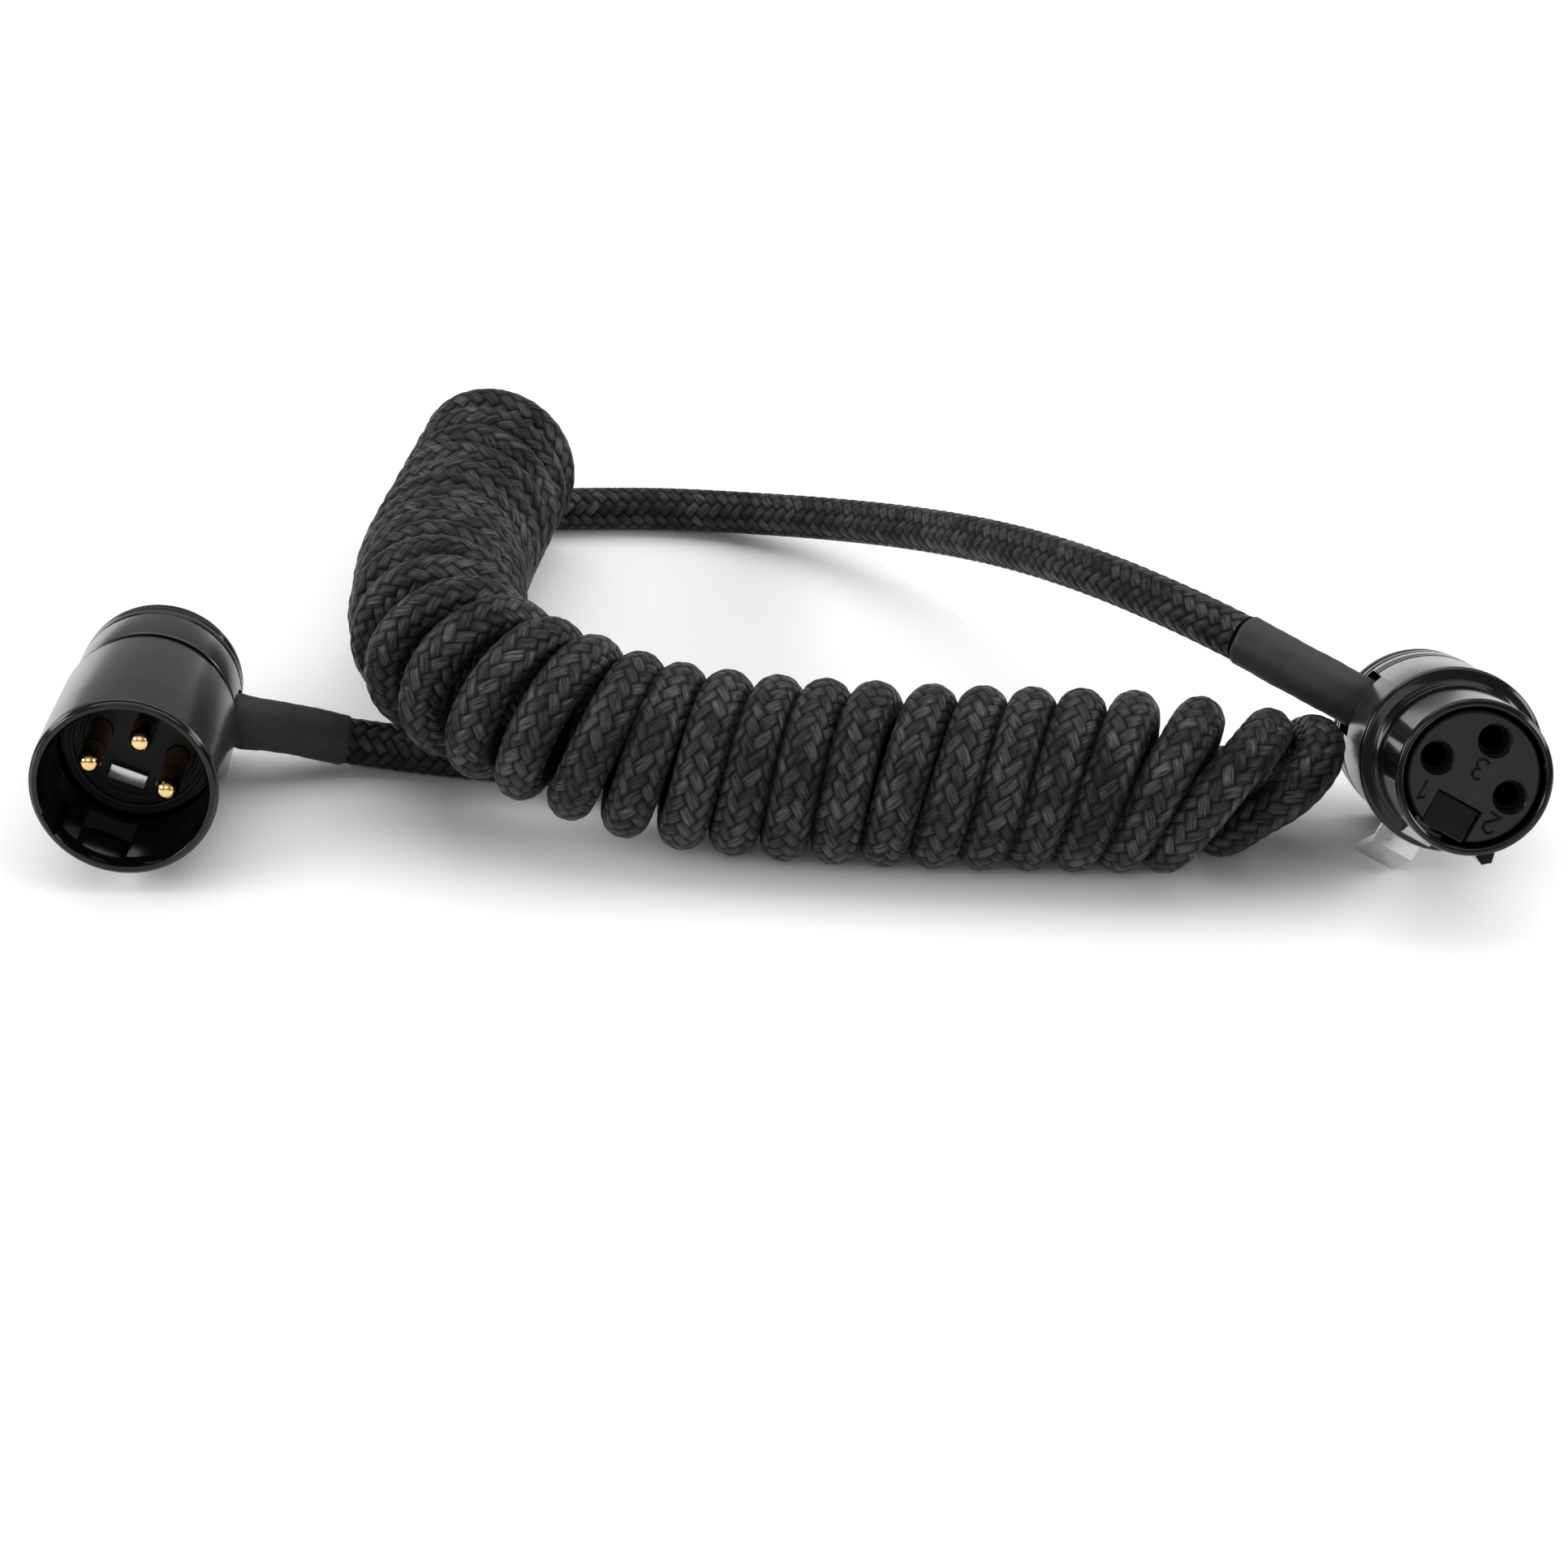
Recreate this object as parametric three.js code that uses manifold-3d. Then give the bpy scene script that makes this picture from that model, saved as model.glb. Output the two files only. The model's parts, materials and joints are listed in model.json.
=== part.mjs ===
// Coiled XLR microphone cable with two low-profile right-angle connectors.
// Millimetres, +Z up, floor at z = 0. Each connector is drawn on its own axis:
// the mating face is at y = 0, the back at y = LENGTH, the latch side is -z.
import * as THREE from 'three';
import { mergeVertices } from 'three/addons/utils/BufferGeometryUtils.js';
import Module from 'manifold-3d';

const wasm = await Module();
wasm.setup();

// ---- driving dimensions ----
const LENGTH = 29.0; // connector, mating face to back of the cap
const CHAMBER_R = 7.6; // room for the wiring
const PIN_CIRCLE_R = 4.1;
const PIN_R = 1.18;
const PIN_TIP = 2.4; // tip of each pin behind the rim
const CUP_END = 20.7; // back of the solder cups
const BARREL_R = 9.5;
const BARREL_LENGTH = 18.4;
const CUP_R = 8.15;
const INSERT_FLOOR = 11.6;
const NOSE_R = 7.75;
const NOSE_BORE_R = 6.9;
const FLANGE_R = 9.3;
const FLANGE = [10.4, 12.0]; // front and back of the flange
const INSERT_BACK = 19.1;
const OUTLET_Y = 23.2; // cable axis at the side outlet
const OUTLET_R = 3.0;
const CABLE_R = 2.42; // braided cable
const CORE_R = 2.1; // cable without its braid
const SLEEVE_R = 2.72; // heat-shrink
const COIL_R = 9.47; // outside of the coiled cable
const LATCH_PIVOT = [3.4, -5.2]; // y, z on the female axis

// Spans along the axis of the pieces at the back: [front, back].
const MALE_BACK = { ring: [18.7, 19.4], housing: [19.7, 26.9], cap: [27.2, LENGTH], radius: 8.7 };
const FEMALE_BACK = { ring: [26.9, 27.4], housing: [12.3, 26.6], cap: [27.7, LENGTH], radius: 8.8 };

const MALE = { at: [-65.93, -9.04, 11.43], noseUp: 6, yaw: 0, roll: -21.5 };
const FEMALE = { at: [66.67, -18.04, 17.85], noseUp: 20, yaw: 3, roll: -30 };

// Route of each cable piece on the table.
const MALE_LEAD = [[-52.0, 15.5, 4.4], [-46.6, 15.8, 3]];
const TAIL_A = [
  [-46.0, 15.8, 2.9],
  [-41.2, 15.2, 2.5],
  [-35.2, 13.8, 2.5],
  [-26.2, 12.2, 2.5],
  [-12.2, 10.8, 2.5],
  [7.8, 10.4, 2.5],
  [27.8, 10.1, 2.5],
  [41.8, 10.1, 2.5],
  [48.4, 9.8, 2.7],
  [52.0, 7.9, 4.3],
  [52.9, 5.4, 7.1],
  [52.9, 3.1, 10.8],
  [52.8, 0.3, 14.2],
  [52.7, -2.6, 16.2],
];
const COIL = [
  [50.0, -3.2, 9.5],
  [39.8, -3.8, 9.5],
  [25.8, -3.5, 9.5],
  [11.8, -2.8, 9.5],
  [-2.2, -1.4, 9.7],
  [-13.2, -0.2, 10.8],
  [-22.2, 1.8, 13.1],
  [-29.4, 5.6, 14.8],
  [-34.4, 11.6, 15.2],
  [-36.5, 19.2, 14.9],
  [-37.1, 28.2, 13.4],
  [-36.7, 38.2, 11.3],
  [-35.7, 48.2, 9.9],
  [-34.5, 59.2, 9.5],
  [-33.4, 69.0, 9.5],
];
const TAIL_B = [
  [-33.2, 72.0, 2.5],
  [-24.2, 72.5, 2.5],
  [-14.2, 72.3, 2.5],
  [-4.7, 70.0, 3.1],
  [5.8, 63.6, 5.4],
  [15.9, 53.2, 9.2],
  [25.4, 39.0, 14],
  [34.1, 25.8, 17.2],
  [42.1, 15.6, 18.2],
  [46.4, 11.5, 17.8],
];
const FEMALE_LEAD = [[51.6, 8.0, 16.3], [47.0, 11.0, 17.7]];

// ---- solids ----
function solid(geometry) {
  const plain = geometry.index ? geometry.toNonIndexed() : geometry.clone();
  plain.deleteAttribute('normal');
  plain.deleteAttribute('uv');
  const merged = mergeVertices(plain, 1e-4);
  const at = merged.attributes.position.array;
  const corners = merged.index.array;
  const kept = [];
  let volume = 0;
  for (let i = 0; i < corners.length; i += 3) {
    const [a, b, c] = [corners[i], corners[i + 1], corners[i + 2]];
    if (a !== b && b !== c && a !== c) {
      kept.push(a, b, c);
      const [p, q, r] = [a, b, c].map((k) => new THREE.Vector3().fromArray(at, 3 * k));
      volume += p.dot(q.cross(r));
    }
  }
  if (volume < 0) {
    kept.reverse();
  }
  const mesh = new wasm.Mesh({
    numProp: 3,
    vertProperties: new Float32Array(at),
    triVerts: new Uint32Array(kept),
  });
  return new wasm.Manifold(mesh);
}

// A turned part: the closed outline is a list of [radius, y].
function turned(outline, sides = 32) {
  const closed = [...outline, outline[0]];
  return solid(new THREE.LatheGeometry(closed.map(([r, y]) => new THREE.Vector2(r, y)), sides));
}

function ring(outer, inner, front, back, sides = 32) {
  return turned([[inner, front], [outer, front], [outer, back], [inner, back]], sides);
}

// A round bar along y.
function rod(radius, front, back, x = 0, z = 0, sides = 14) {
  const bar = new THREE.CylinderGeometry(radius, radius, back - front, sides);
  return solid(bar.translate(x, (front + back) / 2, z));
}

// A round bar along x from a to b.
function crossRod(radius, a, b, y, z, sides = 14) {
  const bar = new THREE.CylinderGeometry(radius, radius, b - a, sides);
  return solid(bar.rotateZ(Math.PI / 2).translate((a + b) / 2, y, z));
}

function block(x, y, z) {
  const box = new THREE.BoxGeometry(x[1] - x[0], y[1] - y[0], z[1] - z[0]);
  return solid(box.translate((x[0] + x[1]) / 2, (y[0] + y[1]) / 2, (z[0] + z[1]) / 2));
}

function tube(route, radius, { inner = 0, sides = 10, steps = 10 } = {}) {
  const section = new THREE.Shape();
  section.absarc(0, 0, radius, 0, 2 * Math.PI, false);
  if (inner > 0) {
    const hole = new THREE.Path();
    hole.absarc(0, 0, inner, 0, 2 * Math.PI, true);
    section.holes.push(hole);
  }
  const path = new THREE.CatmullRomCurve3(route.map((p) => new THREE.Vector3(...p)));
  return solid(new THREE.ExtrudeGeometry(section, {
    steps,
    curveSegments: sides / 2,
    extrudePath: path,
  }));
}

// The same route with its last point pulled back.
function shortened(route, by) {
  const [before, last] = route.slice(-2).map((p) => new THREE.Vector3(...p));
  const back = before.clone().sub(last).setLength(by);
  return [...route.slice(0, -1), last.add(back).toArray()];
}

function rotated(body, angle) {
  return body.rotate([0, -angle, 0]);
}

// ---- finishes ----
const finish = (color, roughness, metalness) => ({ color, roughness, metalness });
const LOOK = {
  black: finish(0x121214, 0.25, 0.6),
  satin: finish(0x3a3b3d, 0.42, 0.7),
  plastic: finish(0x2a2c2e, 0.7, 0.0),
  gold: finish(0xd8b25a, 0.22, 1.0),
  silver: finish(0xc4c6c8, 0.25, 1.0),
  steel: finish(0x8d9093, 0.35, 1.0),
  spring: finish(0xa8abae, 0.3, 1.0),
  braid: finish(0x1b1b1c, 0.9, 0.0),
  shrink: finish(0x343434, 0.75, 0.0),
  core: finish(0x151515, 0.8, 0.0),
  red: finish(0xa5262a, 0.6, 0.0),
  white: finish(0xdedbd2, 0.6, 0.0),
  copper: finish(0xb87548, 0.4, 0.9),
};

const group = new THREE.Group();

function add(name, body, look, place = new THREE.Matrix4()) {
  const found = body.getMesh();
  const geometry = new THREE.BufferGeometry();
  geometry.setAttribute('position', new THREE.BufferAttribute(found.vertProperties, 3));
  geometry.setIndex(new THREE.BufferAttribute(found.triVerts, 1));
  geometry.applyMatrix4(place);
  geometry.computeVertexNormals();
  const mesh = new THREE.Mesh(geometry, new THREE.MeshStandardMaterial(LOOK[look]));
  mesh.name = name;
  group.add(mesh);
}

function placement({ at, noseUp, yaw, roll }) {
  const turn = THREE.MathUtils.degToRad;
  return new THREE.Matrix4().makeTranslation(...at)
    .multiply(new THREE.Matrix4().makeRotationZ(turn(yaw)))
    .multiply(new THREE.Matrix4().makeRotationX(turn(-noseUp)))
    .multiply(new THREE.Matrix4().makeRotationY(turn(-roll)));
}

const malePlace = placement(MALE);
const femalePlace = placement(FEMALE);

// ---- back of both connectors; side is the outlet's x direction ----
function backHalf(prefix, place, side, { ring: lock, housing: span, cap: lid, radius }, lead) {
  const xs = (a, b) => (side > 0 ? [a, b] : [-b, -a]);

  add(`${prefix}_lock_ring`, ring(radius - 0.25, 7.9, ...lock), 'black', place);

  const outlet = crossRod(OUTLET_R, ...xs(5, 11), OUTLET_Y, 0, 24);
  let housing = turned([
    [CHAMBER_R, span[0]],
    [radius - 0.15, span[0]],
    [radius, span[0] + 0.2],
    [radius - 0.15, span[1] - 0.25],
    [radius - 0.35, span[1]],
    [CHAMBER_R, span[1]],
  ], 40).subtract(outlet);
  if (side < 0) {
    housing = housing.subtract(block([-2.6, 2.6], [12, 15.6], [-11, -5]));
  }
  add(`${prefix}_housing`, housing, 'satin', place);

  let cap = turned([
    [0, lid[0]],
    [radius - 0.3, lid[0]],
    [radius - 0.15, lid[0] + 0.2],
    [radius - 0.2, lid[1] - 0.4],
    [radius - 0.6, lid[1]],
    [0, lid[1]],
  ], 40);
  [-5.2, 5.2].forEach((z, i) => {
    cap = cap.subtract(rod(0.9, lid[0] - 1, lid[1], 0, z));
    cap = cap.subtract(rod(1.4, lid[1] - 0.9, lid[1] + 1, 0, z));
    const shank = rod(0.6, lid[0] - 1.4, lid[1] - 0.5, 0, z, 12);
    const head = rod(1.1, lid[1] - 0.6, lid[1] - 0.1, 0, z, 16);
    const slot = block([-1.2, 1.2], [lid[1] - 0.35, lid[1]], [z - 0.15, z + 0.15]);
    add(`${prefix}_cap_screw_${i + 1}`, shank.add(head).subtract(slot), 'steel', place);
  });
  add(`${prefix}_rear_cap`, cap, 'black', place);

  let bar = block(xs(5.1, 6.1), [OUTLET_Y + 2.4, OUTLET_Y + 2.8], [-3.85, 3.85]);
  [-3.2, 3.2].forEach((z, i) => {
    const x = side * 5.6;
    bar = bar.subtract(rod(0.42, OUTLET_Y, OUTLET_Y + 4, x, z, 12));
    const shank = rod(0.2, CUP_END, OUTLET_Y + 3.2, x, z, 8);
    const head = rod(0.42, OUTLET_Y + 3.1, OUTLET_Y + 3.5, x, z, 12);
    add(`${prefix}_clamp_screw_${i + 1}`, shank.add(head), 'steel', place);
  });
  add(`${prefix}_clamp_bar`, bar, 'steel', place);

  const onOutlet = (x) => new THREE.Vector3(side * x, OUTLET_Y, 0).applyMatrix4(place).toArray();
  const coreWay = shortened([...[5.4, 7.5, 10].map(onOutlet), ...lead], 0.6);
  add(`${prefix}_cable_core`, tube(coreWay, CORE_R, { steps: 10 }), 'core');
  const sleeveWay = [...[6.5, 8, 10].map(onOutlet), ...lead];
  const sleeve = tube(sleeveWay, SLEEVE_R, { inner: CORE_R + 0.3, sides: 12, steps: 10 });
  add(`${prefix}_heatshrink`, sleeve, 'shrink');

  const s = side;
  const [c, o] = [CUP_END + 0.35, OUTLET_Y];
  const wires = {
    1: [[s * 4.1, c, 0], [s * 4.15, c + 1.0, 0], [s * 4.5, o - 0.3, 0], [s * 5.05, o, 0]],
    2: [[s * -4.1, c, 0], [s * -3.4, o, -0.2], [s * 0.8, o + 1.5, -0.6], [s * 5.05, o + 1.3, -0.8]],
    3: [[0, c, 4.1], [s * 0.5, o - 0.3, 3.9], [s * 2.8, o + 0.8, 2.4], [s * 5.05, o + 1.0, 1.0]],
  };
  const wireLooks = { 1: 'copper', 2: 'red', 3: 'white' };
  for (const [n, route] of Object.entries(wires)) {
    const wire = tube(route, 0.5, { sides: 8, steps: 7 });
    add(`${prefix}_wire_${n}`, wire, wireLooks[n], place);
  }
}

const CONTACTS = { 1: 0, 2: 180, 3: 90 };

function contactAt(n, side) {
  const angle = THREE.MathUtils.degToRad(CONTACTS[n]);
  return [side * PIN_CIRCLE_R * Math.cos(angle), PIN_CIRCLE_R * Math.sin(angle)];
}

// ---- male connector ----
function male() {
  let shell = turned([
    [CUP_R + 0.25, 0],
    [BARREL_R - 0.25, 0],
    [BARREL_R, 0.3],
    [BARREL_R - 0.05, 6],
    [BARREL_R - 0.35, BARREL_LENGTH - 0.4],
    [BARREL_R - 0.6, BARREL_LENGTH],
    [7.4, BARREL_LENGTH],
    [7.4, INSERT_FLOOR + 0.9],
    [CUP_R, INSERT_FLOOR + 0.9],
    [CUP_R, 0.25],
  ], 44);
  const keyway = block([-1.3, 1.3], [-1, 10], [-8.75, -7.5]);
  const leadIn = block([-2.6, 2.6], [-1, 6], [-8.5, -7]);
  const catchRecess = block([-2.6, 2.6], [6, 9.4], [-8.9, -7]);
  shell = shell.subtract(rotated(keyway, -42)).subtract(leadIn).subtract(catchRecess);
  add('male_shell', shell, 'satin', malePlace);

  let insert = turned([
    [0, INSERT_FLOOR],
    [6.7, INSERT_FLOOR],
    [6.8, INSERT_FLOOR - 0.6],
    [7.8, INSERT_FLOOR - 0.6],
    [7.8, INSERT_FLOOR + 0.6],
    [7.1, INSERT_FLOOR + 0.6],
    [7.1, INSERT_BACK],
    [0, INSERT_BACK],
  ], 32);
  for (const n of [1, 2, 3]) {
    const [x, z] = contactAt(n, 1);
    insert = insert.subtract(rod(PIN_R + 0.3, 8, 22, x, z, 14));
    const pin = turned([
      [0, PIN_TIP],
      [0.55, PIN_TIP + 0.12],
      [1.0, PIN_TIP + 0.55],
      [PIN_R, PIN_TIP + 1.2],
      [PIN_R, CUP_END],
      [0.65, CUP_END],
      [0.65, CUP_END - 0.8],
      [0, CUP_END - 0.8],
    ], 14);
    add(`male_pin_${n}`, pin.translate([x, 0, z]), 'gold', malePlace);
  }
  add('male_insert', insert, 'plastic', malePlace);
  add('male_ground_tab', block([-2, 2], [INSERT_FLOOR - 0.8, INSERT_FLOOR - 0.3], [-4.5, -2.9]), 'silver', malePlace);
  backHalf('male', malePlace, 1, MALE_BACK, MALE_LEAD);
}

// ---- female connector ----
function female() {
  let shell = turned([
    [NOSE_BORE_R, 0.3],
    [NOSE_BORE_R + 0.2, 0],
    [NOSE_R - 0.2, 0],
    [NOSE_R, 0.25],
    [NOSE_R, FLANGE[0] - 1.1],
    [NOSE_R + 0.35, FLANGE[0] - 1.0],
    [NOSE_R + 0.35, FLANGE[0] - 0.1],
    [FLANGE_R - 0.3, FLANGE[0]],
    [FLANGE_R, FLANGE[0] + 0.3],
    [FLANGE_R, FLANGE[1] - 0.2],
    [FLANGE_R - 0.2, FLANGE[1]],
    [NOSE_BORE_R, FLANGE[1]],
  ], 44);
  const keyRib = rotated(block([-1, 1], [0.8, 9.8], [-8.3, -7.3]), 39);
  const hookWindow = block([-1.9, 1.9], [5.4, 9.2], [-9, -5]);
  shell = shell.add(keyRib).subtract(hookWindow);
  add('female_shell', shell, 'black', femalePlace);

  let insert = turned([
    [0, 0.5],
    [6.3, 0.5],
    [6.5, 0.7],
    [6.5, INSERT_BACK],
    [0, INSERT_BACK],
  ], 40);
  insert = insert.subtract(block([-2.45, 2.5], [-1, INSERT_BACK + 1], [-8, -2.6]));
  insert = insert.subtract(crossRod(0.75, -5, 5, ...LATCH_PIVOT));
  for (const n of [1, 2, 3]) {
    const [x, z] = contactAt(n, -1);
    insert = insert.subtract(rod(1.6, -1, 3, x, z, 20)).subtract(rod(1.92, 2, 22, x, z, 16));
    const contact = turned([
      [1.22, 2.4],
      [1.6, 2.4],
      [1.6, 16.0],
      [1.18, 16.4],
      [1.18, CUP_END],
      [0.65, CUP_END],
      [0.65, CUP_END - 0.8],
      [0, CUP_END - 0.8],
      [0, 13.0],
      [1.22, 13.0],
    ], 16);
    add(`female_contact_${n}`, contact.translate([x, 0, z]), 'gold', femalePlace);
  }
  add('female_insert', insert, 'plastic', femalePlace);

  // Latch lever: eye at the front, hook through the nose, leg and thumb tab behind the flange.
  const profile = (points, width) => {
    const side = new THREE.Shape(points.map(([y, z]) => new THREE.Vector2(y, z)));
    const strip = new THREE.ExtrudeGeometry(side, { depth: width, bevelEnabled: false });
    const onSide = new THREE.Matrix4();
    onSide.set(0, 0, 1, -width / 2, 1, 0, 0, 0, 0, 1, 0, 0, 0, 0, 0, 1);
    return solid(strip.applyMatrix4(onSide));
  };
  const lever = profile([
    [3.4, -4.9],
    [12.9, -4.9],
    [12.9, -5.7],
    [8.7, -5.7],
    [8.4, -8.5],
    [7.7, -8.5],
    [6.0, -7.1],
    [5.9, -5.7],
    [3.4, -5.7],
  ], 3.2);
  const tab = profile([
    [12.7, -4.9],
    [13.4, -5.6],
    [13.7, -10.3],
    [17.9, -12.3],
    [17.7, -13.0],
    [12.9, -10.9],
    [12.5, -5.7],
    [12.5, -4.9],
  ], 4.5);
  const eye = crossRod(1.2, -1.6, 1.6, ...LATCH_PIVOT, 16);
  const latch = lever.add(tab).add(eye).subtract(crossRod(0.78, -3, 3, ...LATCH_PIVOT));
  add('female_latch', latch, 'silver', femalePlace);
  add('female_latch_pin', crossRod(0.42, -3.6, 3.6, ...LATCH_PIVOT, 12), 'steel', femalePlace);
  add('female_latch_spring', block([-1.3, 1.3], [5.2, 11.4], [-3.25, -2.95]), 'spring', femalePlace);
  backHalf('female', femalePlace, -1, FEMALE_BACK, FEMALE_LEAD);
}

male();
female();

// ---- cable on the table ----
add('cable_tail_a', tube(TAIL_A, CABLE_R, { steps: 30 }), 'braid');
add('cable_coil', tube(COIL, COIL_R, { sides: 16, steps: 28 }), 'braid');
add('cable_tail_b', tube(TAIL_B, CABLE_R, { steps: 22 }), 'braid');

export default group;
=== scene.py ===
import json
import math
from contextlib import contextmanager

import bmesh
import bpy
import numpy as np
from mathutils import Matrix, Vector


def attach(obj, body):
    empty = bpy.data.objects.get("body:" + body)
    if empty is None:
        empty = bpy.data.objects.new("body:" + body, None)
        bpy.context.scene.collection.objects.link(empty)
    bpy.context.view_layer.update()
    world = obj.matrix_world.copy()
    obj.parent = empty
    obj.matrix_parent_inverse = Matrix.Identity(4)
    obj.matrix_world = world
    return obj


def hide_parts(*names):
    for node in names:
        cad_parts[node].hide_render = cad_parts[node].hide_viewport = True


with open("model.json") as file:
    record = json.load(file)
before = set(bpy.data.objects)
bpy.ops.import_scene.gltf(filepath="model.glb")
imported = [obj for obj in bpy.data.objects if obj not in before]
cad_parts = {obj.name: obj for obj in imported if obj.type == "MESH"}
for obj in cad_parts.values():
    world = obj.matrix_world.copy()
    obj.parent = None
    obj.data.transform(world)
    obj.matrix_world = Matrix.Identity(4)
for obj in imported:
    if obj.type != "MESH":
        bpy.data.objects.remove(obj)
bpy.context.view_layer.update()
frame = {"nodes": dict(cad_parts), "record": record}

MM = 0.001
TAU = 2 * math.pi


def link(name, data):
    """A new object in the scene."""
    obj = bpy.data.objects.new(name, data)
    bpy.context.scene.collection.objects.link(obj)
    return obj


# ---------------------------------------------------------------- camera
camera_data = bpy.data.cameras.new("camera")
camera_data.sensor_width = 36
camera_data.lens = 93.17
camera = link("camera", camera_data)
camera.location = (-0.0002, -0.3582, 0.2136)
camera.rotation_euler = (math.radians(60), 0, 0)
bpy.context.scene.camera = camera

# ---------------------------------------------------------------- cable route, millimetres
CABLE_R = 2.42
FLOOR_GAP = 0.04
HELIX_R = 7.05
# Steps along the coil's axis, which of its points the route keeps, and steps along the finished route.
AXIS_STEP = 0.05
KEEP_EVERY = 4
LENGTH_STEP = 0.3
# Points that each smoothing runs over.
TURNS_WINDOW = 61
ROUTE_WINDOW = 17
# How far a leaning turn sinks, as a share of what its tilt takes off its height.
SINK_SHARE = 0.75
# The last loop, past EASE_FROM_X, is opened where it bends tighter than EASE_RADIUS.
EASE_FROM_X = 42.5
EASE_RADIUS = 5.6
EASE_PASSES = 40
EASE_WINDOW = 15
EASE_SHARE = 0.9
COIL_AXIS = [
    [-33.2, 72.2, 9.5], [-35.3, 59.2, 9.5], [-36.9, 48.2, 9.9], [-37.6, 38.2, 11.3],
    [-37.1, 28.2, 13.4], [-36.5, 19.2, 14.9], [-34.4, 11.6, 15.2], [-29.4, 5.6, 14.8],
    [-22.2, 1.8, 13.1], [-13.2, -0.2, 10.8], [-2.2, -1.4, 9.7], [11.8, -2.8, 9.5],
    [25.8, -3.5, 9.5], [39.8, -3.8, 9.5], [50.0, -3.2, 9.5],
]
# Each turn's place along the coil's axis: (distance from the far end, turns so far).
FRONT_PHASE = 31 / 360
FRONT_TURNS = [
    70.7, 75.7, 81.0, 86.2, 91.3, 96.2, 101.2, 106.2, 111.1,
    116.0, 120.8, 125.4, 130.1, 134.6, 139.0, 143.3, 148.0,
]
TURNS = [(0, 0.0), (45, 9.09)] + [(s, 14 + k + FRONT_PHASE) for k, s in enumerate(FRONT_TURNS)]
COIL_ENDS_AT = 28.72
# The turns lean over towards the right end of the coil.
LEAN = [
    (0, 0), (88, 0), (98, 0.35), (108, 0.45), (114, 1.0), (123, 1.3),
    (127.7, 1.45), (132.2, 1.8), (136.7, 2.9), (141, 4.3), (145, 4.6),
]
LAST_LOOP = [
    [46.0, 2.1, 5.4], [43.9, -0.7, 2.75], [43.5, -3.7, 2.9], [44.8, -6.2, 5.0],
    [47.1, -7.5, 7.7], [50.1, -7.8, 9.9], [52.5, -6.8, 11.8], [53.8, -4.4, 12.9],
    [53.9, -1.2, 12.6], [53.1, 2.2, 10.8], [52.3, 5.0, 8.2], [51.0, 7.6, 5.4],
    [48.4, 9.4, 3.6], [44.8, 10.0, 2.7],
]
MALE_TAIL = [
    [39.8, 10.1, 2.45], [27.8, 10.1, 2.45], [7.8, 10.4, 2.45], [-12.2, 10.8, 2.45],
    [-26.2, 12.2, 2.45], [-35.2, 13.8, 2.45], [-41.2, 15.2, 2.5], [-46.6, 15.8, 3.0],
]
FEMALE_TAIL = [
    [47.0, 11.0, 17.7], [42.1, 15.6, 18.2], [34.1, 25.8, 17.2], [25.4, 39.0, 14],
    [15.9, 53.2, 9.2], [5.8, 63.6, 5.4], [-4.7, 70.0, 3.1], [-14.2, 72.3, 2.5],
    [-20.2, 72.5, 2.45], [-26.0, 72.4, 2.45],
]


def through(points, step=0.2):
    """A centripetal Catmull-Rom line through the points."""
    p = np.array(points, float)
    p = np.vstack([2 * p[0] - p[1], p, 2 * p[-1] - p[-2]])
    line = []
    for a, b, c, d in zip(p, p[1:], p[2:], p[3:]):
        t1 = max(np.linalg.norm(b - a), 1e-6) ** 0.5
        t2 = t1 + np.linalg.norm(c - b) ** 0.5
        t3 = t2 + max(np.linalg.norm(d - c), 1e-6) ** 0.5
        count = max(2, int(np.linalg.norm(c - b) / step))
        t = np.linspace(t1, t2, count, endpoint=False)[:, None]
        ab = (t1 - t) / t1 * a + t / t1 * b
        bc = (t2 - t) / (t2 - t1) * b + (t - t1) / (t2 - t1) * c
        cd = (t3 - t) / (t3 - t2) * c + (t - t2) / (t3 - t2) * d
        abc = (t2 - t) / t2 * ab + t / t2 * bc
        bcd = (t3 - t) / (t3 - t1) * bc + (t - t1) / (t3 - t1) * cd
        line.append((t2 - t) / (t2 - t1) * abc + (t - t1) / (t2 - t1) * bcd)
    line.append(p[-2][None])
    return np.vstack(line)


def even(line, step):
    """The same line with points an even step apart."""
    far = np.r_[0, np.cumsum(np.linalg.norm(np.diff(line, axis=0), axis=1))]
    at = np.linspace(0, far[-1], max(2, round(far[-1] / step) + 1))
    return np.column_stack([np.interp(at, far, line[:, k]) for k in range(3)])


def smooth(values, width):
    """A weighted running mean over width values. The ends stay where they are."""
    window = np.hanning(width)
    window /= window.sum()
    half = width // 2
    start = 2 * values[0] - values[half:0:-1]
    end = 2 * values[-1] - values[-2:-half - 2:-1]
    return np.convolve(np.r_[start, values, end], window, "valid")


def unit(rows):
    return rows / np.linalg.norm(rows, axis=1)[:, None]


def coil_line():
    """The coil, wound round its bent axis from the far end."""
    axis = even(through(COIL_AXIS), AXIS_STEP)
    s = AXIS_STEP * np.arange(len(axis))
    ahead = unit(np.gradient(axis, axis=0))
    side = unit(np.cross(ahead, [0, 0, 1.0]))
    up = np.cross(side, ahead)
    turns = smooth(np.interp(s, *zip(*TURNS)), TURNS_WINDOW)
    angle = TAU * turns[:, None]
    lean = np.interp(s, *zip(*LEAN))[:, None]
    front = TAU * FRONT_PHASE
    away = math.cos(front) * up - math.sin(front) * side
    reach = 1 - np.cos(angle - front)
    sink = SINK_SHARE * HELIX_R * (1 - np.sqrt(1 - (lean / HELIX_R) ** 2))
    line = axis + HELIX_R * (np.sin(angle) * side - np.cos(angle) * up)
    line += reach * (lean * ahead - sink * away)
    return line[np.argmax(turns >= 0):np.argmax(turns >= COIL_ENDS_AT)]


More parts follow.
